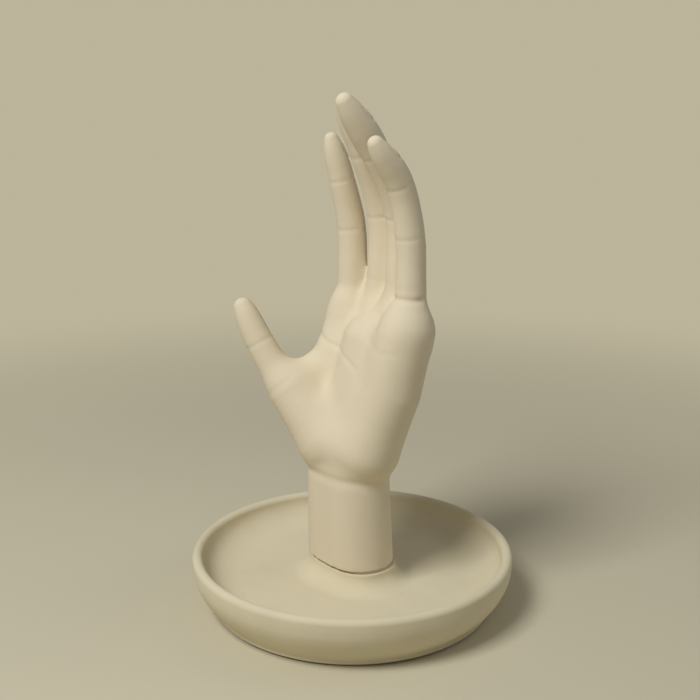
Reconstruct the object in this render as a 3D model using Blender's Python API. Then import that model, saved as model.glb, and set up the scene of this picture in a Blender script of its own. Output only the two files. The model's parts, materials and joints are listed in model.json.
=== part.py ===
"""A display hand: a cast left hand on a round dish, held by one screw.

Metres, +Z up. The origin is on the table under the middle of the dish, the palm faces -Y
and the thumb is at -X. The hand turns about the dish's upright axis.
"""

from math import cos, pi, radians, sin

import bmesh
import bpy
from mathutils import Vector

# Gap between neighbouring pieces
GAP = 0.0003

# Dish
DISH_RADIUS = 0.080
DISH_HEIGHT = 0.0275
LIP_RADIUS = 0.0026
FLOOR_LEVEL = 0.0130
FLOOR_RADIUS = 0.057
# Outside of the wall from under the lip to the foot, as radius and level
OUTER_WALL = ((0.0799, 0.0215), (0.0794, 0.0180), (0.0782, 0.0145), (0.0764, 0.0110), (0.0740, 0.0075),
              (0.0713, 0.0045), (0.0702, 0.0030), (0.0700, 0.0022))
FOOT_OUTER_RADIUS = 0.0700
FOOT_INNER_RADIUS = 0.0600
FOOT_LEVEL = 0.0012
UNDERSIDE_LEVEL = 0.0070
BOSS_LEVEL = 0.0220
BOSS_FLARE = 0.011
COUNTERBORE_RADIUS = 0.0125
COUNTERBORE_LEVEL = 0.0115
SCREW_HOLE_RADIUS = 0.0034
DISH_SIDES = 64

# Wrist, as an oval at its lower end
WRIST_HALF_WIDTH = 0.0242
WRIST_HALF_DEPTH = 0.0172
WRIST_SQUARENESS = 2.5
GASKET_INSET = 0.0010
GASKET_THICKNESS = 0.0008
WRIST_LEVEL = BOSS_LEVEL + GASKET_THICKNESS + 2 * GAP

# Fixing
SCREW_RADIUS = 0.0030
SCREW_LENGTH = 0.035
SCREW_CHAMFER = 0.0006
HEAD_RADIUS = 0.00525
HEAD_HEIGHT = 0.0033
HEX_ACROSS_FLATS = 0.004
HEX_DEPTH = 0.0020
RUBBER_RADIUS = 0.0100
RUBBER_THICKNESS = 0.0015
STEEL_RADIUS = 0.0090
STEEL_THICKNESS = 0.0012
SPRING_RADIUS = 0.0060
SPRING_THICKNESS = 0.0016
SPRING_SLIT = 10
INSERT_RADIUS = 0.0047
INSERT_LENGTH = 0.014
PLUG_HALF_WIDTH = 0.0167
PLUG_HALF_DEPTH = 0.0097
PLUG_LENGTH = 0.022

# Felt feet
FELT_RADIUS = 0.0040
FELT_CIRCLE = 0.0645
FELT_COUNT = 4

# Hand: each finger's web point, then phalanx length, curl towards the palm and lean
# towards the little finger in degrees, then half its width at the middle joint
FINGERS = {
    "index": ((-0.0240, 0.0190, 0.155),
              ((0.029, 0, -1.5), (0.025, 13, -1.5), (0.020, 16, -3.0)), 0.0072),
    "middle": ((-0.0075, 0.0250, 0.160),
               ((0.032, 1, -0.5), (0.032, 21, -0.5), (0.025, 28, -0.5)), 0.0073),
    "ring": ((0.0095, 0.0220, 0.160),
             ((0.033, 1, -1.0), (0.033, 26, -1.0), (0.0285, 37, -1.0)), 0.0072),
    "little": ((0.0256, 0.0145, 0.161),
               ((0.024, 1, -1.0), (0.025, 14, -1.0), (0.0235, 37, -1.0)), 0.0070),
}
# Where each finger's palm bone starts at the wrist
PALM_ROOTS = {
    "index": (-0.013, 0.002, 0.080),
    "middle": (-0.005, 0.004, 0.080),
    "ring": (0.004, 0.004, 0.080),
    "little": (0.012, 0.002, 0.080),
}
KNUCKLE_DROP = 0.018
KNUCKLE_FORWARD = 0.0015
KNUCKLE_SWELL = 1.25
PALM_RADII = (0.0125, 0.0105)
FINGER_TAPER = (1.05, 1.0, 0.90, 0.62)
# Fleshy masses of the palm and the wrist's two sides: start, end, start radius, end radius
MASSES = (
    ((0.000, 0.001, 0.086), (0.000, 0.0100, 0.132), 0.0135, 0.0120),
    ((-0.010, -0.008, 0.084), (-0.0275, -0.014, 0.105), 0.0150, 0.0115),
    ((-0.009, -0.006, 0.081), (0.012, -0.0025, 0.081), 0.0125, 0.0125),
    ((0.0140, -0.002, 0.082), (0.0236, 0.0060, 0.112), 0.0138, 0.0132),
    ((0.0236, 0.0060, 0.112), (0.0262, 0.0100, 0.138), 0.0132, 0.0112),
    ((-0.024, 0.008, 0.120), (-0.032, -0.011, 0.109), 0.0085, 0.0085),
    ((-0.008, -0.001, 0.008), (-0.0085, -0.0015, 0.072), 0.0172, 0.0158),
    ((0.0075, -0.001, 0.008), (0.0055, -0.0015, 0.072), 0.0172, 0.0158),
)
# Thumb: joint centres from the wrist to the tip, with a radius at each
THUMB_POINTS = ((-0.014, -0.006, 0.083), (-0.031, -0.0165, 0.107), (-0.043, -0.0235, 0.128),
                (-0.051, -0.0285, 0.146))
THUMB_RADII = (0.0130, 0.0093, 0.0073, 0.0053)
SKIN_VOXEL = 0.0010
SKIN_SMOOTHING = 22
SKIN_FACES = 4800
FOOT_CUTTER_SIZE = 0.2

# Hollow of the hand: level, half width, half depth, middle X and middle Y
HOLLOW = (
    (0.015, 0.0170, 0.0100, 0.0, 0.0),
    (0.047, 0.0170, 0.0100, 0.0, 0.0),
    (0.055, 0.0140, 0.0090, 0.0, 0.0),
    (0.075, 0.0140, 0.0085, -0.001, 0.0),
    (0.105, 0.0160, 0.0065, -0.001, 0.005),
    (0.118, 0.0130, 0.0045, 0.0, 0.007),
    (0.124, 0.0060, 0.0020, 0.0, 0.008),
)

# Colours
BISQUE = (0.80, 0.75, 0.64, 1)
IVORY_SILICONE = (0.72, 0.68, 0.58, 1)
BEECH = (0.62, 0.42, 0.24, 1)
BRASS = (0.78, 0.58, 0.26, 1)
STEEL = (0.62, 0.62, 0.63, 1)
BLACK_RUBBER = (0.03, 0.03, 0.03, 1)
GREY_FELT = (0.30, 0.29, 0.27, 1)


def make_material(name, colour, roughness, metallic=0.0):
    """Return a Principled material."""
    material = bpy.data.materials.new(name)
    material.use_nodes = True
    shader = material.node_tree.nodes["Principled BSDF"]
    shader.inputs["Base Color"].default_value = colour
    shader.inputs["Roughness"].default_value = roughness
    shader.inputs["Metallic"].default_value = metallic
    return material


def add_object(name, bm, material):
    """Turn a bmesh into a named object with outward faces."""
    bmesh.ops.recalc_face_normals(bm, faces=bm.faces)
    mesh = bpy.data.meshes.new(name)
    bm.to_mesh(mesh)
    bm.free()
    mesh.shade_smooth()
    mesh.set_sharp_from_angle(angle=radians(35))
    mesh.materials.append(material)
    obj = bpy.data.objects.new(name, mesh)
    bpy.context.scene.collection.objects.link(obj)
    return obj


def add_cutter(name, bm, material):
    """Make an object that only cuts others."""
    obj = add_object(name, bm, material)
    obj.hide_render = True
    obj.display_type = "WIRE"
    return obj


def cut(obj, cutter):
    """Take the cutter's shape out of the object."""
    boolean = obj.modifiers.new("cut_" + cutter.name, "BOOLEAN")
    boolean.operation = "DIFFERENCE"
    boolean.solver = "EXACT"
    boolean.object = cutter


def oval_ring(half_width, half_depth, level, sides, squareness=2.0, middle=(0.0, 0.0)):
    """Return the points of a rounded oval at one level."""
    points = []
    for step in range(sides):
        turn = 2 * pi * step / sides
        reach = (abs(cos(turn)) ** squareness + abs(sin(turn)) ** squareness) ** (-1 / squareness)
        x = middle[0] + half_width * reach * cos(turn)
        y = middle[1] + half_depth * reach * sin(turn)
        points.append((x, y, level))
    return points


def circle_ring(radius, level, sides):
    """Return the points of a circle at one level."""
    return oval_ring(radius, radius, level, sides)


def arc(middle_radius, middle_level, radius, start, end, steps):
    """Return radius and level pairs along an arc, angles in degrees from outwards."""
    pairs = []
    for step in range(steps + 1):
        turn = radians(start + (end - start) * step / steps)
        pairs.append((middle_radius + radius * cos(turn), middle_level + radius * sin(turn)))
    return pairs


def loft(rings, looped):
    """Join rings of equal count with quads, looped into a tube or with both ends capped."""
    bm = bmesh.new()
    loops = [[bm.verts.new(point) for point in ring] for ring in rings]
    pairs = list(zip(loops, loops[1:]))
    if looped:
        pairs.append((loops[-1], loops[0]))
    else:
        bm.faces.new(loops[0])
        bm.faces.new(loops[-1])
    for low, high in pairs:
        for side in range(len(low)):
            after = (side + 1) % len(low)
            bm.faces.new((low[side], low[after], high[after], high[side]))
    return bm


def turned_tube(inner_radius, outer_radius, low, high, sides):
    """Return a washer or bush about the Z axis."""
    outline = ((inner_radius, low), (outer_radius, low), (outer_radius, high), (inner_radius, high))
    return loft([circle_ring(radius, level, sides) for radius, level in outline], True)


def add_limb(bm, start, end, start_radius, end_radius, sides=20, cap_steps=4):
    """Add a tapered rod with round ends."""
    start = Vector(start)
    end = Vector(end)
    along = (end - start).normalized()
    across = along.orthogonal().normalized()
    over = along.cross(across)
    stations = []
    for step in range(1, cap_steps + 1):
        turn = pi / 2 * step / cap_steps
        stations.append((start - along * start_radius * cos(turn), start_radius * sin(turn)))
    for step in range(cap_steps):
        turn = pi / 2 * step / cap_steps
        stations.append((end + along * end_radius * sin(turn), end_radius * cos(turn)))
    loops = []
    for middle, radius in stations:
        loop = []
        for side in range(sides):
            turn = 2 * pi * side / sides
            loop.append(bm.verts.new(middle + (across * cos(turn) + over * sin(turn)) * radius))
        loops.append(loop)
    for low, high in zip(loops, loops[1:]):
        for side in range(sides):
            after = (side + 1) % sides
            bm.faces.new((low[side], low[after], high[after], high[side]))
    bm.faces.new(reversed(loops[0]))
    bm.faces.new(loops[-1])


def finger_joints(web, steps):
    """Return the joint centres of a finger from its web point to its tip."""
    joints = [Vector(web)]
    for length, curl, lean in steps:
        forward = sin(radians(curl))
        aside = sin(radians(lean)) * cos(radians(curl))
        upward = cos(radians(lean)) * cos(radians(curl))
        joints.append(joints[-1] + Vector((aside, -forward, upward)) * length)
    return joints


def build_dish(material):
    """Make the dish: boss, floor, lip, tapered outside, foot ring and counterbored underside."""
    rings = [circle_ring(SCREW_HOLE_RADIUS, BOSS_LEVEL, DISH_SIDES)]
    flare_steps = 6
    for step in range(flare_steps + 1):
        turn = pi / 2 * step / flare_steps
        reach = BOSS_FLARE * (1 - cos(turn))
        level = FLOOR_LEVEL + (BOSS_LEVEL - FLOOR_LEVEL) * (1 - sin(turn))
        squareness = WRIST_SQUARENESS - (WRIST_SQUARENESS - 2) * step / flare_steps
        rings.append(oval_ring(WRIST_HALF_WIDTH + reach, WRIST_HALF_DEPTH + reach, level,
                               DISH_SIDES, squareness))
    lip_middle = DISH_RADIUS - LIP_RADIUS
    lip_level = DISH_HEIGHT - LIP_RADIUS
    wall_reach = DISH_RADIUS - 2 * LIP_RADIUS - FLOOR_RADIUS
    outline = []
    wall_steps = 6
    for step in range(wall_steps):
        turn = pi / 2 * step / wall_steps
        outline.append((FLOOR_RADIUS + wall_reach * sin(turn),
                        lip_level - (lip_level - FLOOR_LEVEL) * cos(turn)))
    outline += arc(lip_middle, lip_level, LIP_RADIUS, 180, 0, 6)
    outline += OUTER_WALL
    outline += [
        (FOOT_OUTER_RADIUS, FOOT_LEVEL),
        (FOOT_INNER_RADIUS, FOOT_LEVEL),
        (FOOT_INNER_RADIUS - (UNDERSIDE_LEVEL - FOOT_LEVEL) / 2, UNDERSIDE_LEVEL),
        (COUNTERBORE_RADIUS, UNDERSIDE_LEVEL),
        (COUNTERBORE_RADIUS, COUNTERBORE_LEVEL),
        (SCREW_HOLE_RADIUS, COUNTERBORE_LEVEL),
    ]
    rings += [circle_ring(radius, level, DISH_SIDES) for radius, level in outline]
    return add_object("dish", loft(rings, True), material)


def build_hand(material):
    """Make the hollow hand from round limbs grown together into one skin."""
    bm = bmesh.new()
    for name, (web, steps, half_width) in FINGERS.items():
        joints = finger_joints(web, steps)
        knuckle = joints[0] + Vector((0, -KNUCKLE_FORWARD, -KNUCKLE_DROP))
        add_limb(bm, PALM_ROOTS[name], knuckle, PALM_RADII[0], PALM_RADII[1])
        radii = [half_width * share for share in FINGER_TAPER]
        add_limb(bm, knuckle, joints[0], half_width * KNUCKLE_SWELL, radii[0])
        for joint in range(3):
            add_limb(bm, joints[joint], joints[joint + 1], radii[joint], radii[joint + 1])
    for start, end, start_radius, end_radius in MASSES:
        add_limb(bm, start, end, start_radius, end_radius)
    for joint in range(3):
        add_limb(bm, THUMB_POINTS[joint], THUMB_POINTS[joint + 1], THUMB_RADII[joint], THUMB_RADII[joint + 1])
    hand = add_object("hand", bm, material)
    skin = hand.modifiers.new("one_skin", "REMESH")
    skin.mode = "VOXEL"
    skin.voxel_size = SKIN_VOXEL
    skin.use_smooth_shade = True
    soft = hand.modifiers.new("soft_skin", "SMOOTH")
    soft.factor = 0.5
    soft.iterations = SKIN_SMOOTHING
    bpy.context.view_layer.update()
    skin_mesh = hand.evaluated_get(bpy.context.evaluated_depsgraph_get()).to_mesh()
    skin_faces = sum(len(face.vertices) - 2 for face in skin_mesh.polygons)
    thin = hand.modifiers.new("fewer_faces", "DECIMATE")
    thin.ratio = SKIN_FACES / skin_faces

    foot = bmesh.new()
    bmesh.ops.create_cube(foot, size=FOOT_CUTTER_SIZE)
    bmesh.ops.translate(foot, verts=foot.verts, vec=(0, 0, WRIST_LEVEL - FOOT_CUTTER_SIZE / 2))
    cut(hand, add_cutter("wrist_foot_cutter", foot, material))
    rings = [oval_ring(width, depth, level, 32, WRIST_SQUARENESS, (x, y))
             for level, width, depth, x, y in HOLLOW]
    cut(hand, add_cutter("hand_hollow_cutter", loft(rings, False), material))
    return hand


def build_gasket(material):
    """Make the thin ring between the boss and the wrist."""
    low = BOSS_LEVEL + GAP
    high = low + GASKET_THICKNESS
    half_width = WRIST_HALF_WIDTH - GASKET_INSET
    half_depth = WRIST_HALF_DEPTH - GASKET_INSET
    rings = [
        circle_ring(SCREW_HOLE_RADIUS, low, 48),
        oval_ring(half_width, half_depth, low, 48, WRIST_SQUARENESS),
        oval_ring(half_width, half_depth, high, 48, WRIST_SQUARENESS),
        circle_ring(SCREW_HOLE_RADIUS, high, 48),
    ]
    return add_object("wrist_gasket", loft(rings, True), material)


def build_plug(material):
    """Make the oval plug with a stepped bore for the insert and the screw's end."""
    low = WRIST_LEVEL + GAP
    high = low + PLUG_LENGTH
    step_level = low + INSERT_LENGTH + 2 * GAP
    bore = INSERT_RADIUS + GAP
    rings = [
        circle_ring(bore, low, 32),
        oval_ring(PLUG_HALF_WIDTH, PLUG_HALF_DEPTH, low, 32, WRIST_SQUARENESS),
        oval_ring(PLUG_HALF_WIDTH, PLUG_HALF_DEPTH, high, 32, WRIST_SQUARENESS),
        circle_ring(SCREW_HOLE_RADIUS, high, 32),
        circle_ring(SCREW_HOLE_RADIUS, step_level, 32),
        circle_ring(bore, step_level, 32),
    ]
    return add_object("wrist_plug", loft(rings, True), material)


def build_screw(seat_level, material):
    """Make the button-head screw, head down, with a hexagon socket."""
    sides = 24
    head_low = seat_level - HEAD_HEIGHT
    hex_radius = HEX_ACROSS_FLATS / 2
    outline = [(HEAD_RADIUS * 0.62, head_low), (HEAD_RADIUS * 0.88, head_low + HEAD_HEIGHT * 0.3),
               (HEAD_RADIUS, head_low + HEAD_HEIGHT * 0.75), (HEAD_RADIUS, seat_level),
               (SCREW_RADIUS, seat_level), (SCREW_RADIUS, seat_level + SCREW_LENGTH - SCREW_CHAMFER),
               (SCREW_RADIUS - SCREW_CHAMFER, seat_level + SCREW_LENGTH)]
    rings = [circle_ring(radius, level, sides) for radius, level in outline]
    screw = add_object("clamp_screw", loft(rings, False), material)
    socket = bmesh.new()
    bmesh.ops.create_cone(socket, cap_ends=True, segments=6, radius1=hex_radius / cos(pi / 6),
                          radius2=hex_radius / cos(pi / 6), depth=2 * HEX_DEPTH)
    bmesh.ops.translate(socket, verts=socket.verts, vec=(0, 0, head_low))
    cut(screw, add_cutter("hex_socket_cutter", socket, material))
    return screw


def build_spring_washer(low, material):
    """Make the split washer as an open ring of square section."""
    inner = SCREW_RADIUS + GAP
    corners = ((inner, low), (SPRING_RADIUS, low), (SPRING_RADIUS, low + SPRING_THICKNESS),
               (inner, low + SPRING_THICKNESS))
    sections = []
    steps = 28
    for step in range(steps + 1):
        turn = radians(SPRING_SLIT / 2 + (360 - SPRING_SLIT) * step / steps)
        sections.append([(radius * cos(turn), radius * sin(turn), level) for radius, level in corners])
    return add_object("spring_washer", loft(sections, False), material)


def build_feet(material):
    """Make the felt dots under the foot ring."""
    for index in range(FELT_COUNT):
        turn = radians(45) + 2 * pi * index / FELT_COUNT
        bm = bmesh.new()
        thickness = FOOT_LEVEL - GAP
        bmesh.ops.create_cone(bm, cap_ends=True, segments=24, radius1=FELT_RADIUS, radius2=FELT_RADIUS,
                              depth=thickness)
        bmesh.ops.translate(bm, verts=bm.verts,
                            vec=(FELT_CIRCLE * cos(turn), FELT_CIRCLE * sin(turn), thickness / 2))
        add_object(f"felt_foot_{index + 1}", bm, material)


for old in list(bpy.data.objects):
    bpy.data.objects.remove(old, do_unlink=True)

bisque = make_material("bisque", BISQUE, 0.85)
steel = make_material("steel", STEEL, 0.35, 1.0)

build_dish(bisque)
build_hand(bisque)
build_gasket(make_material("ivory_silicone", IVORY_SILICONE, 0.7))
build_plug(make_material("beech", BEECH, 0.6))
insert_low = WRIST_LEVEL + 2 * GAP
add_object("threaded_insert",
           turned_tube(SCREW_RADIUS + GAP, INSERT_RADIUS, insert_low, insert_low + INSERT_LENGTH, 24),
           make_material("brass", BRASS, 0.35, 1.0))

# Washers hang under the dish's counterbore, then the screw's head
washer_bore = SCREW_RADIUS + GAP
rubber_low = COUNTERBORE_LEVEL - GAP - RUBBER_THICKNESS
steel_low = rubber_low - GAP - STEEL_THICKNESS
spring_low = steel_low - GAP - SPRING_THICKNESS
add_object("rubber_washer",
           turned_tube(washer_bore, RUBBER_RADIUS, rubber_low, rubber_low + RUBBER_THICKNESS, 32),
           make_material("black_rubber", BLACK_RUBBER, 0.8))
add_object("steel_washer",
           turned_tube(washer_bore, STEEL_RADIUS, steel_low, steel_low + STEEL_THICKNESS, 32), steel)
build_spring_washer(spring_low, steel)
build_screw(spring_low - GAP, steel)
build_feet(make_material("grey_felt", GREY_FELT, 0.95))
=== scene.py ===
"""Looks for a display hand: a cast hand standing in a round dish."""

import json
import math

import bmesh
import bpy
import numpy as np
import openvdb
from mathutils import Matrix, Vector

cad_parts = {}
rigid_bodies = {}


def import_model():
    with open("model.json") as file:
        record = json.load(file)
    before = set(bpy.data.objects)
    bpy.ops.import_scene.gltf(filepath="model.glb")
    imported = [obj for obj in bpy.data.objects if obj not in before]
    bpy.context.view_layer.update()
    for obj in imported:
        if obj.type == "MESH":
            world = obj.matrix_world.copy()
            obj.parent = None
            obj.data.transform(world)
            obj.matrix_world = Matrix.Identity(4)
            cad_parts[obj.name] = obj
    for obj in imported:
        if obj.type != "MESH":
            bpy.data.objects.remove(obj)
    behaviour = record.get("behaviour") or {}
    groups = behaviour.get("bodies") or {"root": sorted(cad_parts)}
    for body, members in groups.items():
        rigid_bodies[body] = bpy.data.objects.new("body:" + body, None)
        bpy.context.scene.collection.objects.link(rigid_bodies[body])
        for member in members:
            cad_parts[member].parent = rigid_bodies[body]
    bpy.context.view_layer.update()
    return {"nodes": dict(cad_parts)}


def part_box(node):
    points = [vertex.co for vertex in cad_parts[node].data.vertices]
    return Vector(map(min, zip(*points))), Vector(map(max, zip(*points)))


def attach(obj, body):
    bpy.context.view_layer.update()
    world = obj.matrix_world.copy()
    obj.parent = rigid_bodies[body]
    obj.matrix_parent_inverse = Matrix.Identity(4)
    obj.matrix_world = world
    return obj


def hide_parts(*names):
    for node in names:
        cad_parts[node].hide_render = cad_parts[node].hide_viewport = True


for leftover in list(bpy.data.objects):
    bpy.data.objects.remove(leftover, do_unlink=True)

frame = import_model()
scene = bpy.context.scene
scene.view_settings.view_transform = "Standard"

# The view: a camera a little above the fingertips, half a metre off, looking slightly down
# at the palm's outer edge, so that the little finger is nearest.
VIEW_TURN = math.radians(52)
VIEW_PITCH = math.radians(14)
VIEW_DISTANCE = 0.505
VIEW_HEIGHT = 0.255
VIEW_ASIDE = -0.0011
FRAME_PIXELS = 700
FOCAL_PIXELS = 1080
view_back = Vector((math.sin(VIEW_TURN), -math.cos(VIEW_TURN), 0))
view_right = Vector((math.cos(VIEW_TURN), math.sin(VIEW_TURN), 0))
camera_data = bpy.data.cameras.new("photo_view")
camera_data.sensor_width = 36
camera_data.lens = camera_data.sensor_width * FOCAL_PIXELS / FRAME_PIXELS
camera_data.clip_start = 0.01
camera = bpy.data.objects.new("photo_view", camera_data)
camera.location = view_back * VIEW_DISTANCE + view_right * VIEW_ASIDE + Vector((0, 0, VIEW_HEIGHT))
camera.rotation_euler = (math.pi / 2 - VIEW_PITCH, 0, VIEW_TURN)
scene.collection.objects.link(camera)
scene.camera = camera

# The studio: a plain pale floor that fades into a pale surround, a large soft lamp on the
# palm's side, a weak one behind, and an even pale light all round.
SURROUND = (0.50, 0.455, 0.325, 1)
FLOOR_COLOUR = (0.60, 0.555, 0.41, 1)
FLOOR_SIZE = 8.0
FADE_START = 0.20
FADE_END = 0.75
EVEN_LIGHT_COLOUR = (1.0, 0.98, 0.95, 1)
EVEN_LIGHT_STRENGTH = 0.22
LAMP_AIM = Vector((0, 0, 0.12))


def socket(node, name, value):
    """Set one input of a shader node."""
    node.inputs[name].default_value = value


def add_node(tree, kind, **inputs):
    """Add a node to a tree and set its inputs, with underscores for spaces in their names."""
    node = tree.nodes.new(kind)
    for name, value in inputs.items():
        socket(node, name.replace("_", " "), value)
    return node


def blank_material(name):
    """Return a new material's tree and its Principled shader."""
    material = bpy.data.materials.new(name)
    material.use_nodes = True
    tree = material.node_tree
    return material, tree, tree.nodes["Principled BSDF"]


def ramp(tree, low, high):
    """Add a smooth ramp from 0 at low to 1 at high."""
    node = tree.nodes.new("ShaderNodeMapRange")
    node.interpolation_type = "SMOOTHSTEP"
    socket(node, "From Min", low)
    socket(node, "From Max", high)
    return node


floor_mesh = bpy.data.meshes.new("floor")
half_floor = FLOOR_SIZE / 2
floor_mesh.from_pydata([(-half_floor, -half_floor, 0), (half_floor, -half_floor, 0),
                        (half_floor, half_floor, 0), (-half_floor, half_floor, 0)], [], [(0, 1, 2, 3)])
floor = bpy.data.objects.new("floor", floor_mesh)
scene.collection.objects.link(floor)
floor_material, tree, shader = blank_material("pale_floor")
socket(shader, "Base Color", FLOOR_COLOUR)
socket(shader, "Roughness", 0.9)
socket(shader, "Specular IOR Level", 0.1)
place = tree.nodes.new("ShaderNodeTexCoord")
reach = tree.nodes.new("ShaderNodeVectorMath")
reach.operation = "LENGTH"
fade = ramp(tree, FADE_START, FADE_END)
clear = tree.nodes.new("ShaderNodeBsdfTransparent")
mix = tree.nodes.new("ShaderNodeMixShader")
tree.links.new(place.outputs["Object"], reach.inputs[0])
tree.links.new(reach.outputs["Value"], fade.inputs["Value"])
tree.links.new(fade.outputs["Result"], mix.inputs["Fac"])
tree.links.new(shader.outputs["BSDF"], mix.inputs[1])
tree.links.new(clear.outputs["BSDF"], mix.inputs[2])
tree.links.new(mix.outputs["Shader"], tree.nodes["Material Output"].inputs["Surface"])
floor_mesh.materials.append(floor_material)

world = bpy.data.worlds.new("surround")
scene.world = world
world.use_nodes = True
tree = world.node_tree
backdrop = tree.nodes["Background"]
socket(backdrop, "Color", SURROUND)
even_light = add_node(tree, "ShaderNodeBackground", Color=EVEN_LIGHT_COLOUR, Strength=EVEN_LIGHT_STRENGTH)
seen = tree.nodes.new("ShaderNodeLightPath")
choose = tree.nodes.new("ShaderNodeMixShader")
tree.links.new(seen.outputs["Is Camera Ray"], choose.inputs["Fac"])
tree.links.new(even_light.outputs["Background"], choose.inputs[1])
tree.links.new(backdrop.outputs["Background"], choose.inputs[2])
tree.links.new(choose.outputs["Shader"], tree.nodes["World Output"].inputs["Surface"])


def add_lamp(name, turn, height, distance, size, watts):
    """Add a square soft lamp on a bearing in degrees from the palm's side, aimed at the hand."""
    data = bpy.data.lights.new(name, "AREA")
    data.size = size
    data.energy = watts
    lamp = bpy.data.objects.new(name, data)
    bearing = math.radians(turn)
    lamp.location = (math.sin(bearing) * distance, -math.cos(bearing) * distance, height)
    lamp.rotation_euler = (LAMP_AIM - lamp.location).to_track_quat("-Z", "Y").to_euler()
    scene.collection.objects.link(lamp)


add_lamp("palm_lamp", turn=8, height=1.0, distance=0.75, size=0.45, watts=10.2)
add_lamp("back_lamp", turn=150, height=0.8, distance=1.2, size=0.8, watts=2.0)

# The dish: slip cast in one piece and left unglazed, with a soft round lip, a wall that draws in
# to a foot ring, and a flared boss in the middle that the wrist stands on.
DISH_COLOUR = (0.70, 0.63, 0.445)
DISH_STAIN = (0.60, 0.535, 0.37)
DISH_MOTTLE_FINENESS = 26.0
DISH_GRAIN_HEIGHT = 0.00025
DISH_SIDES = 240
SEAM_GAP = 0.00001
DISH_SHARP_ANGLE = math.radians(40)
dish_low, dish_high = (Vector(corner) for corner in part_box("dish"))
DISH_RADIUS = dish_high.x
DISH_HEIGHT = dish_high.z
FOOT_LEVEL = dish_low.z
LIP_RADIUS = 0.0026
FLOOR_LEVEL = 0.0130
FLOOR_RADIUS = 0.057
FLAT_FLOOR_RADIUS = 0.048
# Outside of the wall from under the lip to the foot, as radius and level
OUTER_WALL = ((0.0800, 0.0249), (0.0799, 0.0215), (0.0794, 0.0180), (0.0782, 0.0145), (0.0764, 0.0110),
              (0.0740, 0.0075), (0.0713, 0.0045), (0.0702, 0.0030), (0.0700, 0.0022))
FOOT_OUTER_RADIUS = 0.0700
FOOT_INNER_RADIUS = 0.0600
FOOT_ROUND = 0.0008
UNDERSIDE_LEVEL = 0.0070
FLAT_UNDERSIDE_RADIUS = 0.035
BOSS_LEVEL = 0.0220
BOSS_FLARE = 0.011
BOSS_EDGE = 0.0006
FLARE_STEPS = 18
WALL_STEPS = 23
LIP_STEPS = 16
CURVE_STEPS = 40
FOOT_STEPS = 4
COUNTERBORE_RADIUS = 0.0125
COUNTERBORE_LEVEL = 0.0115
SCREW_HOLE_RADIUS = 0.0034
WRIST_HALF_WIDTH = 0.0242
WRIST_HALF_DEPTH = 0.0172
WRIST_SQUARENESS = 2.5
ROUND = 2.0
# Where a Mix node keeps its two numbers, its two colours and its mixed colour
NUMBER_A, NUMBER_B = 2, 3
COLOUR_A, COLOUR_B = 6, 7
MIXED_COLOUR = 2


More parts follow.
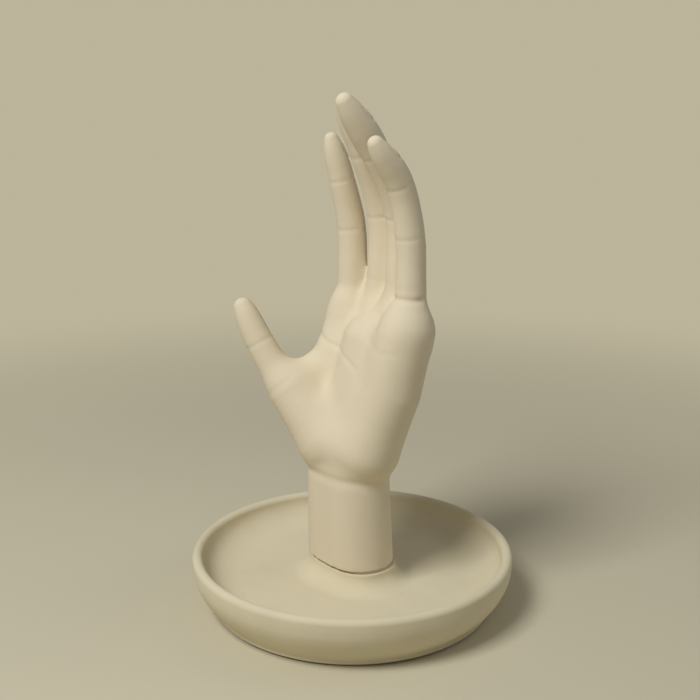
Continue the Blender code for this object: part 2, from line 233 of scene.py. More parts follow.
def shared_grain():
    """Build the node group for unglazed casting: mottled colour, specks, pin holes and fine grain."""
    group = bpy.data.node_groups.new("cast_grain", "ShaderNodeTree")
    face = group.interface
    face.new_socket("Colour", in_out="INPUT", socket_type="NodeSocketColor")
    face.new_socket("Stain", in_out="INPUT", socket_type="NodeSocketColor")
    face.new_socket("Mottle Fineness", in_out="INPUT", socket_type="NodeSocketFloat")
    face.new_socket("Colour", in_out="OUTPUT", socket_type="NodeSocketColor")
    face.new_socket("Roughness", in_out="OUTPUT", socket_type="NodeSocketFloat")
    face.new_socket("Height", in_out="OUTPUT", socket_type="NodeSocketFloat")
    source = group.nodes.new("NodeGroupInput")
    result = group.nodes.new("NodeGroupOutput")
    place = group.nodes.new("ShaderNodeTexCoord")
    wires = group.links

    mottle = add_node(group, "ShaderNodeTexNoise", Detail=4.0, Roughness=0.55)
    wires.new(place.outputs["Object"], mottle.inputs["Vector"])
    wires.new(source.outputs["Mottle Fineness"], mottle.inputs["Scale"])
    cloud = ramp(group, 0.42, 0.72)
    wires.new(mottle.outputs["Fac"], cloud.inputs["Value"])
    soften = group.nodes.new("ShaderNodeMath")
    soften.operation = "MULTIPLY"
    soften.inputs[1].default_value = 0.35
    wires.new(cloud.outputs["Result"], soften.inputs[0])
    tint = group.nodes.new("ShaderNodeMix")
    tint.data_type = "RGBA"
    wires.new(soften.outputs["Value"], tint.inputs["Factor"])
    wires.new(source.outputs["Colour"], tint.inputs[COLOUR_A])
    wires.new(source.outputs["Stain"], tint.inputs[COLOUR_B])

    speck = add_node(group, "ShaderNodeTexVoronoi", Scale=170.0, Randomness=1.0)
    wires.new(place.outputs["Object"], speck.inputs["Vector"])
    dot = ramp(group, 0.10, 0.045)
    wires.new(speck.outputs["Distance"], dot.inputs["Value"])
    pick = add_node(group, "ShaderNodeTexNoise", Scale=60.0, Detail=1.0)
    wires.new(place.outputs["Object"], pick.inputs["Vector"])
    few = ramp(group, 0.64, 0.72)
    wires.new(pick.outputs["Fac"], few.inputs["Value"])
    speck_mask = group.nodes.new("ShaderNodeMath")
    speck_mask.operation = "MULTIPLY"
    wires.new(dot.outputs["Result"], speck_mask.inputs[0])
    wires.new(few.outputs["Result"], speck_mask.inputs[1])
    darken = group.nodes.new("ShaderNodeMix")
    darken.data_type = "RGBA"
    darken.blend_type = "MULTIPLY"
    darken.inputs[COLOUR_B].default_value = (0.72, 0.66, 0.58, 1)
    wires.new(speck_mask.outputs["Value"], darken.inputs["Factor"])
    wires.new(tint.outputs[MIXED_COLOUR], darken.inputs[COLOUR_A])
    wires.new(darken.outputs[MIXED_COLOUR], result.inputs["Colour"])

    grain = add_node(group, "ShaderNodeTexNoise", Scale=1500.0, Detail=3.0, Roughness=0.6)
    wires.new(place.outputs["Object"], grain.inputs["Vector"])
    wave = add_node(group, "ShaderNodeTexNoise", Scale=130.0, Detail=2.0)
    wires.new(place.outputs["Object"], wave.inputs["Vector"])
    uneven = group.nodes.new("ShaderNodeMath")
    uneven.operation = "MULTIPLY_ADD"
    uneven.inputs[1].default_value = 1.6
    wires.new(wave.outputs["Fac"], uneven.inputs[0])
    wires.new(grain.outputs["Fac"], uneven.inputs[2])
    pit = group.nodes.new("ShaderNodeMath")
    pit.operation = "SUBTRACT"
    wires.new(uneven.outputs["Value"], pit.inputs[0])
    wires.new(speck_mask.outputs["Value"], pit.inputs[1])
    wires.new(pit.outputs["Value"], result.inputs["Height"])

    dull = group.nodes.new("ShaderNodeMapRange")
    socket(dull, "To Min", 0.70)
    socket(dull, "To Max", 0.92)
    wires.new(mottle.outputs["Fac"], dull.inputs["Value"])
    wires.new(dull.outputs["Result"], result.inputs["Roughness"])
    return group


cast_grain = shared_grain()


def cast_material(name, colour, stain, mottle_fineness, grain_height):
    """Return a matte unglazed material of one tone with mottling and grain."""
    material, tree, shader = blank_material(name)
    grain = tree.nodes.new("ShaderNodeGroup")
    grain.node_tree = cast_grain
    socket(grain, "Colour", (*colour, 1))
    socket(grain, "Stain", (*stain, 1))
    socket(grain, "Mottle Fineness", mottle_fineness)
    bump = add_node(tree, "ShaderNodeBump", Strength=0.35, Distance=grain_height)
    tree.links.new(grain.outputs["Colour"], shader.inputs["Base Color"])
    tree.links.new(grain.outputs["Roughness"], shader.inputs["Roughness"])
    tree.links.new(grain.outputs["Height"], bump.inputs["Height"])
    tree.links.new(bump.outputs["Normal"], shader.inputs["Normal"])
    socket(shader, "Specular IOR Level", 0.3)
    return material


def arc(middle_radius, middle_level, radius, start, end, steps):
    """Return radius and level pairs along an arc, angles in degrees from outwards."""
    turns = np.radians(np.linspace(start, end, steps + 1))
    return list(zip(middle_radius + radius * np.cos(turns), middle_level + radius * np.sin(turns)))


def smooth_row(points, counts):
    """Return places at fractional counts along a smooth curve through a row of points."""
    points = np.asarray(points, float)
    padded = np.vstack((2 * points[0] - points[1], points, 2 * points[-1] - points[-2]))
    places = []
    for count in counts:
        step = int(np.clip(math.floor(count), 0, len(points) - 2))
        t = count - step
        a, b, c, d = padded[step:step + 4]
        places.append(0.5 * (2 * b + (c - a) * t + (2 * a - 5 * b + 4 * c - d) * t * t
                             + (3 * b - a - 3 * c + d) * t * t * t))
    return np.array(places)


def carry_round():
    """Build the tree that carries an outline round the upright axis, as rings that may be oval.

    Each point of the outline holds a half width, a half depth and a level, and has its squareness.
    """
    group = bpy.data.node_groups.new("carry_round", "GeometryNodeTree")
    face = group.interface
    face.new_socket("Outline", in_out="INPUT", socket_type="NodeSocketGeometry")
    face.new_socket("Sides", in_out="INPUT", socket_type="NodeSocketInt")
    face.new_socket("Seam Gap", in_out="INPUT", socket_type="NodeSocketFloat")
    face.new_socket("Finish", in_out="INPUT", socket_type="NodeSocketMaterial")
    face.new_socket("Piece", in_out="OUTPUT", socket_type="NodeSocketGeometry")
    source = group.nodes.new("NodeGroupInput").outputs
    wires = group.links

    def work_out(kind, operation, *values):
        """Add one step of arithmetic on sockets or numbers and return its result."""
        node = group.nodes.new(kind)
        node.operation = operation
        for number, value in enumerate(values):
            if isinstance(value, bpy.types.NodeSocket):
                wires.new(value, node.inputs[number])
            else:
                node.inputs[number].default_value = value
        return node.outputs[0]

    def whole(operation, *values):
        """Work out a step in whole numbers."""
        return work_out("FunctionNodeIntegerMath", operation, *values)

    def real(operation, *values):
        """Work out a step in real numbers."""
        return work_out("ShaderNodeMath", operation, *values)

    def at_ring(kind, value):
        """Read one value of the outline at each point's own ring."""
        node = group.nodes.new("GeometryNodeSampleIndex")
        node.data_type = kind
        wires.new(source["Outline"], node.inputs["Geometry"])
        wires.new(value, node.inputs["Value"])
        wires.new(ring, node.inputs["Index"])
        return node.outputs["Value"]

    size = group.nodes.new("GeometryNodeAttributeDomainSize")
    wires.new(source["Outline"], size.inputs["Geometry"])
    stops = whole("ADD", source["Sides"], 1)
    sheet = group.nodes.new("GeometryNodeMeshGrid")
    wires.new(size.outputs["Point Count"], sheet.inputs["Vertices X"])
    wires.new(stops, sheet.inputs["Vertices Y"])
    number = group.nodes.new("GeometryNodeInputIndex").outputs["Index"]
    ring = whole("DIVIDE_FLOOR", number, stops)
    turn = real("DIVIDE", real("MULTIPLY", whole("MODULO", number, stops), 2 * math.pi), source["Sides"])
    half_sizes = at_ring("FLOAT_VECTOR", group.nodes.new("GeometryNodeInputPosition").outputs["Position"])
    named = add_node(group, "GeometryNodeInputNamedAttribute", Name="squareness")
    square = at_ring("FLOAT", named.outputs["Attribute"])
    across, along = real("COSINE", turn), real("SINE", turn)
    spread = real("ADD", real("POWER", real("ABSOLUTE", across), square),
                  real("POWER", real("ABSOLUTE", along), square))
    reach = real("POWER", spread, real("DIVIDE", -1.0, square))
    bearing = group.nodes.new("ShaderNodeCombineXYZ")
    wires.new(real("MULTIPLY", across, reach), bearing.inputs["X"])
    wires.new(real("MULTIPLY", along, reach), bearing.inputs["Y"])
    socket(bearing, "Z", 1.0)
    place = work_out("ShaderNodeVectorMath", "MULTIPLY", half_sizes, bearing.outputs["Vector"])

    flow = sheet.outputs["Mesh"]
    for kind, name, value in (("GeometryNodeSetPosition", "Position", place),
                              ("GeometryNodeMergeByDistance", "Distance", source["Seam Gap"]),
                              ("GeometryNodeRealizeInstances", None, None),
                              ("GeometryNodeSetMaterial", "Material", source["Finish"])):
        node = group.nodes.new(kind)
        wires.new(flow, node.inputs["Geometry"])
        if name:
            wires.new(value, node.inputs[name])
        flow = node.outputs["Geometry"]
    wires.new(flow, group.nodes.new("NodeGroupOutput").inputs["Piece"])
    return group


def plain_mesh(obj):
    """Turn an object's modifiers into a plain smooth mesh with outward faces."""
    mesh = bpy.data.meshes.new_from_object(obj.evaluated_get(bpy.context.evaluated_depsgraph_get()))
    obj.modifiers.clear()
    obj.data = mesh
    bm = bmesh.new()
    bm.from_mesh(mesh)
    bmesh.ops.recalc_face_normals(bm, faces=bm.faces)
    bm.to_mesh(mesh)
    bm.free()
    mesh.shade_smooth()
    for empty in [number for number, material in enumerate(mesh.materials) if material is None][::-1]:
        mesh.materials.pop(index=empty)


# From the screw hole over the boss, down its flare, up the wall, over the lip and back underneath
outline = [(SCREW_HOLE_RADIUS, SCREW_HOLE_RADIUS, BOSS_LEVEL, ROUND)]
for inset, drop in ((BOSS_EDGE, 0), (BOSS_EDGE * 0.3, BOSS_EDGE * 0.3)):
    outline.append((WRIST_HALF_WIDTH - inset, WRIST_HALF_DEPTH - inset, BOSS_LEVEL - drop,
                    WRIST_SQUARENESS))
flare_top = BOSS_LEVEL - BOSS_EDGE
for share in np.linspace(0, 1, FLARE_STEPS + 1):
    turn = math.pi / 2 * share
    reach = BOSS_FLARE * (1 - math.cos(turn))
    outline.append((WRIST_HALF_WIDTH + reach, WRIST_HALF_DEPTH + reach,
                    FLOOR_LEVEL + (flare_top - FLOOR_LEVEL) * (1 - math.sin(turn)),
                    WRIST_SQUARENESS - (WRIST_SQUARENESS - ROUND) * share))
lip_level = DISH_HEIGHT - LIP_RADIUS
wall_reach = DISH_RADIUS - 2 * LIP_RADIUS - FLOOR_RADIUS
round_part = [(FLAT_FLOOR_RADIUS, FLOOR_LEVEL)]
for turn in np.linspace(0, math.pi / 2, WALL_STEPS + 1)[:-1]:
    round_part.append((FLOOR_RADIUS + wall_reach * math.sin(turn),
                       lip_level - (lip_level - FLOOR_LEVEL) * math.cos(turn)))
round_part += arc(DISH_RADIUS - LIP_RADIUS, lip_level, LIP_RADIUS, 180, 0, LIP_STEPS)
wall_counts = np.linspace(0, len(OUTER_WALL) - 1, CURVE_STEPS + 1)
round_part += smooth_row(OUTER_WALL, wall_counts[1:]).tolist()
outer_round = FOOT_ROUND / 2
round_part += arc(FOOT_OUTER_RADIUS - outer_round, FOOT_LEVEL + outer_round, outer_round, 0, -90, FOOT_STEPS)
round_part += arc(FOOT_INNER_RADIUS + FOOT_ROUND, FOOT_LEVEL + FOOT_ROUND, FOOT_ROUND, -90, -160, FOOT_STEPS)
round_part += [
    (FOOT_INNER_RADIUS - (UNDERSIDE_LEVEL - FOOT_LEVEL) / 2, UNDERSIDE_LEVEL),
    (FLAT_UNDERSIDE_RADIUS, UNDERSIDE_LEVEL),
    (COUNTERBORE_RADIUS, UNDERSIDE_LEVEL),
    (COUNTERBORE_RADIUS, COUNTERBORE_LEVEL),
    (SCREW_HOLE_RADIUS, COUNTERBORE_LEVEL),
]
outline += [(radius, radius, level, ROUND) for radius, level in round_part]
outline.append(outline[0])
dish_mesh = bpy.data.meshes.new("cast_dish")
dish_mesh.from_pydata([point[:3] for point in outline], [], [])
squareness = dish_mesh.attributes.new("squareness", "FLOAT", "POINT")
squareness.data.foreach_set("value", [point[3] for point in outline])
dish = bpy.data.objects.new("cast_dish", dish_mesh)
scene.collection.objects.link(dish)
turning = dish.modifiers.new("carry_round", "NODES")
turning.node_group = carry_round()
dish_bisque = cast_material("dish_bisque", DISH_COLOUR, DISH_STAIN, DISH_MOTTLE_FINENESS, DISH_GRAIN_HEIGHT)
turning_inputs = {"Sides": DISH_SIDES, "Seam Gap": SEAM_GAP, "Finish": dish_bisque}
for item in turning.node_group.interface.items_tree:
    if item.name in turning_inputs:
        turning[item.identifier] = turning_inputs[item.name]
plain_mesh(dish)
dish.data.set_sharp_from_angle(angle=DISH_SHARP_ANGLE)
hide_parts("dish")
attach(dish, "dish")

# The hand: one hollow casting of a left hand, fingers together and gently curled, rubbed
# smooth and left unglazed. It is modelled as clay, in millimetres, on a block of small cells.
HAND_COLOUR = (0.745, 0.655, 0.475)
HAND_STAIN = (0.655, 0.575, 0.405)
HAND_MOTTLE_FINENESS = 22.0
HAND_GRAIN_HEIGHT = 0.0002
MM_PER_METRE = 1000
# The block's cell size and corners, and the depth given to open air
CELL = 0.62
BLOCK_LOW = (-66.0, -48.0, 16.0)
BLOCK_HIGH = (47.0, 46.0, 256.0)
FAR = 25.0
HAND_FACES = 190000
WRIST_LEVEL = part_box("hand")[0][2] * MM_PER_METRE
WRIST_FOLD_LEVEL = 68.5
WRIST_FOLD_DEPTH = 0.5
WRIST_FOLD_WIDTH = 2.5
# Each finger's web point, then its bones as length, curl and sideways lean, then half its width
FINGERS = {
    "index": ((-24.0, 19.0, 155), ((29, 0, -1.5), (25, 13, -1.5), (20, 16, -3.0)), 7.2),
    "middle": ((-7.5, 25.0, 160), ((32, 1, -0.5), (32, 21, -0.5), (25, 28, -0.5)), 7.3),
    "ring": ((9.5, 22.0, 160), ((33, 1, -1.0), (33, 26, -1.0), (29, 37, -1.0)), 7.2),
    "little": ((25.6, 14.5, 161), ((24, 1, -1.0), (25, 14, -1.0), (23.5, 37, -1.0)), 7.0),
}
TIP_SHARE = {"index": 0.94, "middle": 1.0, "ring": 1.14, "little": 1.04}
PALM_ROOTS = {"index": (-13, 2, 80), "middle": (-5, 4, 80), "ring": (4, 4, 80), "little": (12, 2, 80)}
# Half width along a finger: joint count from the web, and its share of the finger's own size
FINGER_SWELL = ((-0.6, 1.20), (0.0, 1.04), (0.5, 0.985), (0.9, 1.0), (1.05, 1.0), (1.5, 0.94), (1.9, 0.91),
                (2.05, 0.91), (2.45, 0.865), (2.7, 0.77), (2.85, 0.67), (3.0, 0.52))
THUMB_POINTS = ((-14, -6, 83), (-31.4, -16.9, 107), (-43.6, -24.2, 128), (-51.3, -28.8, 145.5))
THUMB_SWELL = ((0.0, 12.5), (0.6, 10.2), (1.0, 8.8), (1.5, 7.6), (1.9, 7.2), (2.1, 7.1), (2.5, 6.6),
               (2.7, 6.2), (2.85, 5.7), (3.0, 4.9))
FINGER_BACK = (0.0, 1.0, 0.0)
THUMB_BACK = (-0.79, 0.61, 0.0)
# Weights that even out the width along a finger
SOFTEN = np.array((1, 2, 3, 2, 1)) / 9

cells = [int(math.ceil((high - low) / CELL)) + 1 for low, high in zip(BLOCK_LOW, BLOCK_HIGH)]
grid = [low + CELL * np.arange(count, dtype=np.float32) for low, count in zip(BLOCK_LOW, cells)]
clay = np.full(cells, FAR, np.float32)


def part_of_block(low, high):
    """Return the slices of the block between two corners and the places of their cells."""
    cuts = []
    for axis in range(3):
        first = int(np.clip((low[axis] - BLOCK_LOW[axis]) // CELL, 0, cells[axis]))
        last = int(np.clip((high[axis] - BLOCK_LOW[axis]) // CELL + 2, 0, cells[axis]))
        cuts.append(slice(first, last))
    places = np.stack(np.meshgrid(*(grid[axis][cuts[axis]] for axis in range(3)), indexing="ij"), -1)
    return tuple(cuts), places


def press_on(cuts, depth, blend):
    """Add a shape to the clay, with a soft fillet of about the blend's size."""
    old = clay[cuts]
    overlap = np.maximum(blend - np.abs(old - depth), 0) / blend
    clay[cuts] = np.minimum(old, depth) - overlap * overlap * blend / 4


def rod_depth(places, start, end, start_radius, end_radius):
    """Return how far places are outside a tapered round-ended rod."""
    start = np.asarray(start, np.float32)
    along = np.asarray(end, np.float32) - start
    offset = places - start
    share = np.clip(offset @ (along / (along @ along)), 0, 1)
    offset = offset - share[..., None] * along
    return np.sqrt((offset * offset).sum(-1)) - (start_radius + share * (end_radius - start_radius))


def add_rods(points, radii, blend):
    """Press on one limb made of rods through a row of points."""
    points = np.asarray(points, float)
    margin = max(radii) + blend + 3
    cuts, places = part_of_block(points.min(0) - margin, points.max(0) + margin)
    depth = np.full(places.shape[:3], FAR, np.float32)
    for start, end, start_radius, end_radius in zip(points, points[1:], radii, radii[1:]):
        np.minimum(depth, rod_depth(places, start, end, start_radius, end_radius), out=depth)
    press_on(cuts, depth.astype(np.float32), blend)


def finger_joints(web, steps):
    """Return the joint centres of a finger from its web point to its tip."""
    joints = [np.array(web, float)]
    for length, curl, lean in np.radians(steps) * (180 / math.pi, 1, 1):
        joints.append(joints[-1] + length * np.array((math.sin(lean) * math.cos(curl), -math.sin(curl),
                                                      math.cos(lean) * math.cos(curl))))
    return np.array(joints)


def ease(value, low, high):
    """Rise smoothly from 0 at low to 1 at high."""
    share = np.clip((value - low) / (high - low), 0, 1)
    return share * share * (3 - 2 * share)


# Palm bones, then the fleshy masses of the palm as points, radii and fillet, then the wrist as
# three uprights side by side
PALM_BONE_END = (0, -1.5, -18)
PALM_BONE_RADII = (12.5, 10.5)
PALM_BONE_FILLET = 9
PALM_MASSES = {
    "core": (((0, 0.5, 86), (0, 9.5, 132)), (12.5, 11), 12),
    "thumb_ball": (((-10, -8, 84), (-27.5, -14, 105)), (13.5, 10), 12),
    "heel": (((-9, -6, 81), (12, -2.5, 81)), (11, 11), 8),
    "outer_ball": (((13.5, -2, 83), (23.2, 6.0, 112), (26.2, 10, 138)), (11.4, 11.4, 10.4), 12),
    "thumb_web": (((-24, 8, 121), (-32, -11, 109)), (7.2, 7), 12),
    "index_side": (((-24.5, 14.5, 146), (-24.5, 9.5, 127)), (6.2, 6.0), 9),
}
# Each upright's side at the foot, its side at the top, and how much thinner it is than the others
WRIST_UPRIGHTS = ((-7.3, -8.5, 0), (8.2, 5.5, 0), (0.4, -1.5, 1.1))
WRIST_FOOT_RADIUS = 17.3
WRIST_TOP_RADIUS = 15.8
WRIST_FILLET = 4
for name, (web, steps, half_width) in FINGERS.items():
    add_rods((PALM_ROOTS[name], np.array(web) + PALM_BONE_END), PALM_BONE_RADII, PALM_BONE_FILLET)
for points, radii, fillet in PALM_MASSES.values():
    add_rods(points, radii, fillet)
for foot_side, top_side, thinner in WRIST_UPRIGHTS:
    add_rods(((foot_side, -0.3, -12), (top_side, -1.5, 70)),
             (WRIST_FOOT_RADIUS - thinner, WRIST_TOP_RADIUS - thinner), WRIST_FILLET)

# Fingers and thumb, with knuckles and tendons on the back, set off from the web or the palm's root
FINGER_ROOT = (0, -1.0, -12)
FINGER_ROOT_SHARE = 1.16
FINGER_FILLET = 6
THUMB_FILLET = 8
KNUCKLE_PLACE = (0, 3.5, -21)
KNUCKLE_RUN = (0, -1.0, -5)
KNUCKLE_RADII = (6.2, 5.5)
TENDON_START = (0, 1.2, -6)
TENDON_END = (0, 11.5, 8)
TENDON_RADII = (3.2, 2.0)
BACK_FILLET = 7
spines = {}
counts = np.append(np.linspace(0, 2.4, 25), np.linspace(2.44, 3, 15))
for name, (web, steps, half_width) in FINGERS.items():
    joints = finger_joints(web, steps)
    spine = smooth_row(joints, counts)
    radii = np.interp(counts, *zip(*FINGER_SWELL)) * half_width
    radii *= 1 + (TIP_SHARE[name] - 1) * ease(counts, 1.6, 2.4)
    radii[2:-2] = np.convolve(radii, SOFTEN, "valid")
    add_rods(np.vstack((joints[0] + FINGER_ROOT, spine)),
             np.append(half_width * FINGER_ROOT_SHARE, radii), FINGER_FILLET)
    knuckle = joints[0] + KNUCKLE_PLACE
    add_rods((knuckle, knuckle + KNUCKLE_RUN), KNUCKLE_RADII, BACK_FILLET)
    add_rods((knuckle + TENDON_START, np.array(PALM_ROOTS[name]) + TENDON_END), TENDON_RADII, BACK_FILLET)
    spines[name] = (spine, radii, FINGER_BACK)
thumb_spine = smooth_row(THUMB_POINTS, counts)
thumb_radii = np.interp(counts, *zip(*THUMB_SWELL))
thumb_radii[2:-2] = np.convolve(thumb_radii, SOFTEN, "valid")
add_rods(thumb_spine, thumb_radii, THUMB_FILLET)
spines["thumb"] = (thumb_spine, thumb_radii, THUMB_BACK)


def around_finger(name, count, reach):
    """Return the cells near a place on a finger: slices, along, turn from the back, radius and a mask."""
    spine, radii, back = spines[name]
    middle = np.array([np.interp(count, counts, spine[:, axis]) for axis in range(3)])
    ahead = np.array([np.interp(count + 0.05, counts, spine[:, axis]) for axis in range(3)])
    behind = np.array([np.interp(count - 0.05, counts, spine[:, axis]) for axis in range(3)])
    along = (ahead - behind) / np.linalg.norm(ahead - behind)
    back = np.array(back) - along * (np.array(back) @ along)
    back /= np.linalg.norm(back)
    across = np.cross(along, back)
    radius = float(np.interp(count, counts, radii))
    span = reach + radius + 2
    cuts, places = part_of_block(middle - span, middle + span)
    offset = places - middle.astype(np.float32)
    local_along = offset @ along.astype(np.float32)
    turn = np.arctan2(offset @ across.astype(np.float32), offset @ back.astype(np.float32))
    spread = np.sqrt((offset * offset).sum(-1) - local_along ** 2)
    near = (spread < radius + 3) & (np.abs(local_along) < reach)
    return cuts, local_along, turn, radius, near


def crease(name, count, depth, width, offset=0.0, back_side=False, bow=0.0):
    """Press a fold line across one side of a finger."""
    cuts, along, turn, radius, near = around_finger(name, count, 6 + abs(offset))
    facing = np.cos(turn) if back_side else -np.cos(turn)
    line = along - offset - bow * (1 - facing)
    clay[cuts] += near * depth * ease(facing, -0.15, 0.55) * np.exp(-(line / width) ** 2)


def nail(name, count, length, share):
    """Sink a nail's outline into the back of a fingertip and raise its plate."""
    cuts, along, turn, radius, near = around_finger(name, count, length)
    half_span = share * radius
    across = turn * radius
    shape = ((np.abs(across) / half_span) ** NAIL_SQUARENESS
             + (np.abs(along) / (length / 2)) ** NAIL_SQUARENESS) ** (1 / NAIL_SQUARENESS)
    facing = near * ease(np.cos(turn), 0.0, 0.25)
    rim = np.exp(-((shape - 1.0) * half_span / NAIL_RIM_WIDTH) ** 2)
    plate = ease(shape, 1.0, 0.82)
    clay[cuts] += facing * (NAIL_RIM_DEPTH * rim - NAIL_RISE * plate)


# Places along a finger are counts of joints from the web, and the rest is in millimetres
MIDDLE_JOINT, END_JOINT, THUMB_BASE = 1.0, 2.0, 1.05
JOINT_CREASE = {"depth": 0.22, "width": 1.1}
KNUCKLE_CREASE = {"depth": 0.14, "width": 0.7, "back_side": True, "bow": 0.8}
KNUCKLE_CREASE_OFFSETS = (-2.2, -0.2, 1.9)
END_CREASE = {"depth": 0.12, "width": 0.7, "back_side": True, "bow": 0.5}
THUMB_KNUCKLE_CREASE = {"depth": 0.12, "width": 0.7, "back_side": True, "bow": 0.8}
THUMB_KNUCKLE_OFFSETS = (-1.8, 0.2)
THUMB_BASE_CREASE = {"depth": 0.2, "width": 1.6}
NAIL_SQUARENESS = 2.6
NAIL_RIM_WIDTH = 0.55
NAIL_RIM_DEPTH = 0.42
NAIL_RISE = 0.16
# Each nail's place, length and half span as a share of the finger's radius
NAILS = {"index": (2.64, 9.8, 0.98), "middle": (2.64, 9.8, 0.98), "ring": (2.64, 9.8, 0.98),
         "little": (2.64, 8.6, 0.98), "thumb": (2.62, 11.5, 1.0)}
for name in FINGERS:
    crease(name, MIDDLE_JOINT, **JOINT_CREASE)
    crease(name, END_JOINT, **JOINT_CREASE)
    for offset in KNUCKLE_CREASE_OFFSETS:
        crease(name, MIDDLE_JOINT, offset=offset, **KNUCKLE_CREASE)
    crease(name, END_JOINT, **END_CREASE)
    nail(name, *NAILS[name])
crease("thumb", END_JOINT, **JOINT_CREASE)
crease("thumb", THUMB_BASE, **THUMB_BASE_CREASE)
for offset in THUMB_KNUCKLE_OFFSETS:
    crease("thumb", END_JOINT, offset=offset, **THUMB_KNUCKLE_CREASE)
nail("thumb", *NAILS["thumb"])

# Lines of the palm, as points across and up the palm with depth and width, and the wrist's fold
PALM_LINES = (
    (((-31, 127), (-22, 121), (-13, 108), (-8, 94), (-7, 82)), 0.2, 2.2),
    (((-34, 133), (-25, 130.5), (-18, 128.4), (-2, 125.8), (8, 121)), 0.4, 1.2),
    (((36, 133), (24, 133), (10, 137), (-4, 143), (-13, 149)), 0.15, 1.6),
    (((6, 149), (10, 146), (16.7, 142), (20.6, 134)), 0.3, 2.4),
    (((15, 155), (20, 156.5), (28, 157), (38, 156)), 0.7, 1.4),
)
for points, depth, width in PALM_LINES:
    row = smooth_row(points, np.linspace(0, len(points) - 1, 41))
    cuts, places = part_of_block((-40, -40, row[:, 1].min() - 4), (42, 30, row[:, 1].max() + 4))
    gap = np.full(places.shape[:3:2], FAR, np.float32)
    flat = places[:, 0][..., [0, 2]]
    for start, end in zip(row, row[1:]):
        along = (end - start).astype(np.float32)
        offset = flat - start.astype(np.float32)
        share = np.clip(offset @ (along / (along @ along)), 0, 1)
        np.minimum(gap, np.linalg.norm(offset - share[..., None] * along, axis=-1), out=gap)
    ends = ease(flat[..., 0], row[:, 0].min() - 1, row[:, 0].min() + 6)
    ends = ends * ease(-flat[..., 0], -row[:, 0].max() - 1, -row[:, 0].max() + 6)
    groove = (depth * np.exp(-(gap / width) ** 2) * (0.35 + 0.65 * ends))[:, None, :]
    palm_side = ease((places[..., 2] - 80) * 0.18 + 4 - places[..., 1], 0, 4)
    clay[cuts] += groove * palm_side

cuts, places = part_of_block((-40, -40, 56), (40, 40, 82))
fold = np.exp(-((places[..., 2] - WRIST_FOLD_LEVEL) / WRIST_FOLD_WIDTH) ** 2)
clay[cuts] += (WRIST_FOLD_DEPTH * fold * ease(-places[..., 1], -12, 2)).astype(np.float32)

# The open foot and the hollow inside, as level, half width, half depth and middle
HOLLOW = ((15, 17.0, 10.0, 0), (47, 17.0, 10.0, 0), (55, 14.0, 9.0, 0), (75, 14.0, 8.5, 0),
          (105, 15.0, 6.0, 5), (118, 12.0, 4.0, 7), (124, 5.0, 1.5, 8))
cuts, places = part_of_block(BLOCK_LOW, BLOCK_HIGH)
clay[cuts] = np.maximum(clay[cuts], WRIST_LEVEL - places[..., 2])
cuts, places = part_of_block((-24, -18, 16), (24, 20, 123.8))
levels, widths, depths, middles = zip(*HOLLOW)
half_wide = np.interp(places[..., 2], levels, widths)
half_deep = np.interp(places[..., 2], levels, depths)
off_middle = places[..., 1] - np.interp(places[..., 2], levels, middles)
inside = (np.abs(places[..., 0] / half_wide) ** WRIST_SQUARENESS
          + np.abs(off_middle / half_deep) ** WRIST_SQUARENESS) ** (1 / WRIST_SQUARENESS)
clay[cuts] = np.maximum(clay[cuts], ((1 - inside) * half_deep).astype(np.float32))

volume = openvdb.FloatGrid(FAR)
volume.copyFromArray(clay)
hand_points, hand_quads = volume.convertToQuads(0.0)
hand_mesh = bpy.data.meshes.new("cast_hand")
hand_mesh.from_pydata(((hand_points * CELL + BLOCK_LOW) / MM_PER_METRE).tolist(), [], hand_quads.tolist())
hand = bpy.data.objects.new("cast_hand", hand_mesh)
scene.collection.objects.link(hand)
fewer = hand.modifiers.new("fewer_faces", "DECIMATE")
fewer.ratio = min(1, HAND_FACES / (2 * len(hand_quads)))
plain_mesh(hand)
hand_bisque = cast_material("hand_bisque", HAND_COLOUR, HAND_STAIN, HAND_MOTTLE_FINENESS, HAND_GRAIN_HEIGHT)
hand.data.materials.append(hand_bisque)
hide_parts("hand")
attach(hand, "hand")

# The wrist gasket: a thin sheet of ivory silicone, die cut to the wrist's outline, that lets
# the hand turn on the boss without grinding. It is held by the screw alone.
GASKET_COLOUR = (0.60, 0.53, 0.37, 1)
GASKET_STAIN = (0.53, 0.46, 0.31, 1)
gasket_material, tree, shader = blank_material("ivory_silicone")
grain = tree.nodes.new("ShaderNodeGroup")
grain.node_tree = cast_grain
socket(grain, "Colour", GASKET_COLOUR)
socket(grain, "Stain", GASKET_STAIN)
socket(grain, "Mottle Fineness", 40.0)
tree.links.new(grain.outputs["Colour"], shader.inputs["Base Color"])
socket(shader, "Roughness", 0.6)
socket(shader, "Subsurface Weight", 0.1)
socket(shader, "Subsurface Scale", 0.001)


def paint(node, material):
    """Give one CAD node this material in place of its own."""
    mesh = frame["nodes"][node].data
    mesh.materials.clear()
    mesh.materials.append(material)


paint("wrist_gasket", gasket_material)

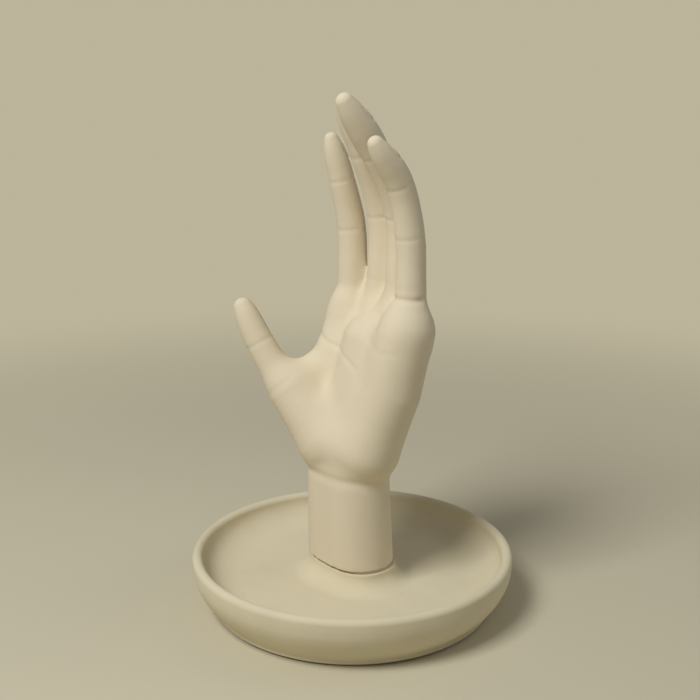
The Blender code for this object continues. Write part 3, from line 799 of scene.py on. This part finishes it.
# The wrist plug: a turned beech block glued into the hollow wrist to take the screw's insert.
# Its grain runs up the wrist.
BEECH_DARK = (0.36, 0.20, 0.10, 1)
BEECH_LIGHT = (0.62, 0.41, 0.24, 1)
plug_material, tree, shader = blank_material("beech")
place = tree.nodes.new("ShaderNodeTexCoord")
stretch = add_node(tree, "ShaderNodeMapping", Scale=(1.0, 1.0, 0.06))
fibre = add_node(tree, "ShaderNodeTexNoise", Scale=420.0, Detail=5.0, Roughness=0.6, Distortion=0.4)
rings = add_node(tree, "ShaderNodeTexWave", Scale=55.0, Distortion=3.0, Detail=2.0)
rings.wave_type = "RINGS"
rings.rings_direction = "Z"
mixed = tree.nodes.new("ShaderNodeMix")
socket(mixed, "Factor", 0.35)
tone = tree.nodes.new("ShaderNodeValToRGB")
for stop, colour, position in zip(tone.color_ramp.elements, (BEECH_DARK, BEECH_LIGHT), (0.25, 0.75)):
    stop.color = colour
    stop.position = position
tree.links.new(place.outputs["Object"], stretch.inputs["Vector"])
tree.links.new(stretch.outputs["Vector"], fibre.inputs["Vector"])
tree.links.new(place.outputs["Object"], rings.inputs["Vector"])
tree.links.new(fibre.outputs["Fac"], mixed.inputs[NUMBER_A])
tree.links.new(rings.outputs["Fac"], mixed.inputs[NUMBER_B])
tree.links.new(mixed.outputs[0], tone.inputs["Fac"])
tree.links.new(tone.outputs["Color"], shader.inputs["Base Color"])
bump = add_node(tree, "ShaderNodeBump", Strength=0.3, Distance=0.0002)
tree.links.new(fibre.outputs["Fac"], bump.inputs["Height"])
tree.links.new(bump.outputs["Normal"], shader.inputs["Normal"])
socket(shader, "Roughness", 0.62)
paint("wrist_plug", plug_material)


# The threaded insert: a knurled brass bush with a machine thread, turned from bar. It is
# pressed and glued into the foot of the plug.
BRASS_COLOUR = (0.72, 0.50, 0.20)


def shared_turning():
    """Build the node group for turned metal: fine marks round the screw's axis and uneven dulling."""
    group = bpy.data.node_groups.new("turning_marks", "ShaderNodeTree")
    face = group.interface
    face.new_socket("Mark Fineness", in_out="INPUT", socket_type="NodeSocketFloat")
    face.new_socket("Brightest", in_out="INPUT", socket_type="NodeSocketFloat")
    face.new_socket("Dullest", in_out="INPUT", socket_type="NodeSocketFloat")
    face.new_socket("Roughness", in_out="OUTPUT", socket_type="NodeSocketFloat")
    face.new_socket("Height", in_out="OUTPUT", socket_type="NodeSocketFloat")
    source = group.nodes.new("NodeGroupInput")
    result = group.nodes.new("NodeGroupOutput")
    place = group.nodes.new("ShaderNodeTexCoord")
    marks = add_node(group, "ShaderNodeTexWave", Distortion=1.2, Detail=1.0)
    marks.wave_type = "RINGS"
    marks.rings_direction = "Z"
    dulling = add_node(group, "ShaderNodeTexNoise", Scale=380.0, Detail=3.0)
    spread = group.nodes.new("ShaderNodeMapRange")
    group.links.new(place.outputs["Object"], marks.inputs["Vector"])
    group.links.new(source.outputs["Mark Fineness"], marks.inputs["Scale"])
    group.links.new(place.outputs["Object"], dulling.inputs["Vector"])
    group.links.new(dulling.outputs["Fac"], spread.inputs["Value"])
    group.links.new(source.outputs["Brightest"], spread.inputs["To Min"])
    group.links.new(source.outputs["Dullest"], spread.inputs["To Max"])
    group.links.new(spread.outputs["Result"], result.inputs["Roughness"])
    group.links.new(marks.outputs["Fac"], result.inputs["Height"])
    return group


turning_marks = shared_turning()


def turned_metal(name, colour, brightest, dullest):
    """Return a metal of one colour with turning marks."""
    material, tree, shader = blank_material(name)
    marks = tree.nodes.new("ShaderNodeGroup")
    marks.node_tree = turning_marks
    socket(marks, "Mark Fineness", 900.0)
    socket(marks, "Brightest", brightest)
    socket(marks, "Dullest", dullest)
    bump = add_node(tree, "ShaderNodeBump", Strength=0.2, Distance=0.00003)
    tree.links.new(marks.outputs["Roughness"], shader.inputs["Roughness"])
    tree.links.new(marks.outputs["Height"], bump.inputs["Height"])
    tree.links.new(bump.outputs["Normal"], shader.inputs["Normal"])
    socket(shader, "Base Color", (*colour, 1))
    socket(shader, "Metallic", 1.0)
    return material


paint("threaded_insert", turned_metal("brass", BRASS_COLOUR, brightest=0.24, dullest=0.44))

# The clamp screw with its flat and spring washers: zinc-plated steel, put in from below the
# dish and set so that the spring washer keeps the hand firm but able to turn.
ZINC_COLOUR = (0.62, 0.63, 0.64)
zinc = turned_metal("zinc_plate", ZINC_COLOUR, brightest=0.26, dullest=0.46)
for fixing in ("clamp_screw", "steel_washer", "spring_washer"):
    paint(fixing, zinc)

# The rubber washer: black moulded rubber, stuck under the dish's boss so that steel never
# bears on the casting.
RUBBER_DARK = (0.018, 0.018, 0.018, 1)
RUBBER_BLOOM = (0.05, 0.048, 0.045, 1)
rubber_material, tree, shader = blank_material("black_rubber")
place = tree.nodes.new("ShaderNodeTexCoord")
bloom = add_node(tree, "ShaderNodeTexNoise", Scale=300.0, Detail=3.0)
tone = tree.nodes.new("ShaderNodeMix")
tone.data_type = "RGBA"
tone.inputs[COLOUR_A].default_value = RUBBER_DARK
tone.inputs[COLOUR_B].default_value = RUBBER_BLOOM
tree.links.new(place.outputs["Object"], bloom.inputs["Vector"])
tree.links.new(bloom.outputs["Fac"], tone.inputs["Factor"])
tree.links.new(tone.outputs[MIXED_COLOUR], shader.inputs["Base Color"])
socket(shader, "Roughness", 0.75)
paint("rubber_washer", rubber_material)

# The felt feet: four dots punched from grey wool felt. They are stuck under the foot ring with
# their own adhesive and keep the casting off the table.
FELT_DARK = (0.24, 0.23, 0.215, 1)
FELT_LIGHT = (0.36, 0.35, 0.33, 1)
FELT_FEET = 4
felt_material, tree, shader = blank_material("grey_felt")
place = tree.nodes.new("ShaderNodeTexCoord")
wool = add_node(tree, "ShaderNodeTexNoise", Scale=2400.0, Detail=4.0, Roughness=0.7, Distortion=1.5)
tone = tree.nodes.new("ShaderNodeMix")
tone.data_type = "RGBA"
tone.inputs[COLOUR_A].default_value = FELT_DARK
tone.inputs[COLOUR_B].default_value = FELT_LIGHT
bump = add_node(tree, "ShaderNodeBump", Strength=0.8, Distance=0.0003)
tree.links.new(place.outputs["Object"], wool.inputs["Vector"])
tree.links.new(wool.outputs["Fac"], tone.inputs["Factor"])
tree.links.new(tone.outputs[MIXED_COLOUR], shader.inputs["Base Color"])
tree.links.new(wool.outputs["Fac"], bump.inputs["Height"])
tree.links.new(bump.outputs["Normal"], shader.inputs["Normal"])
socket(shader, "Roughness", 1.0)
socket(shader, "Sheen Weight", 0.3)
for number in range(1, FELT_FEET + 1):
    paint(f"felt_foot_{number}", felt_material)
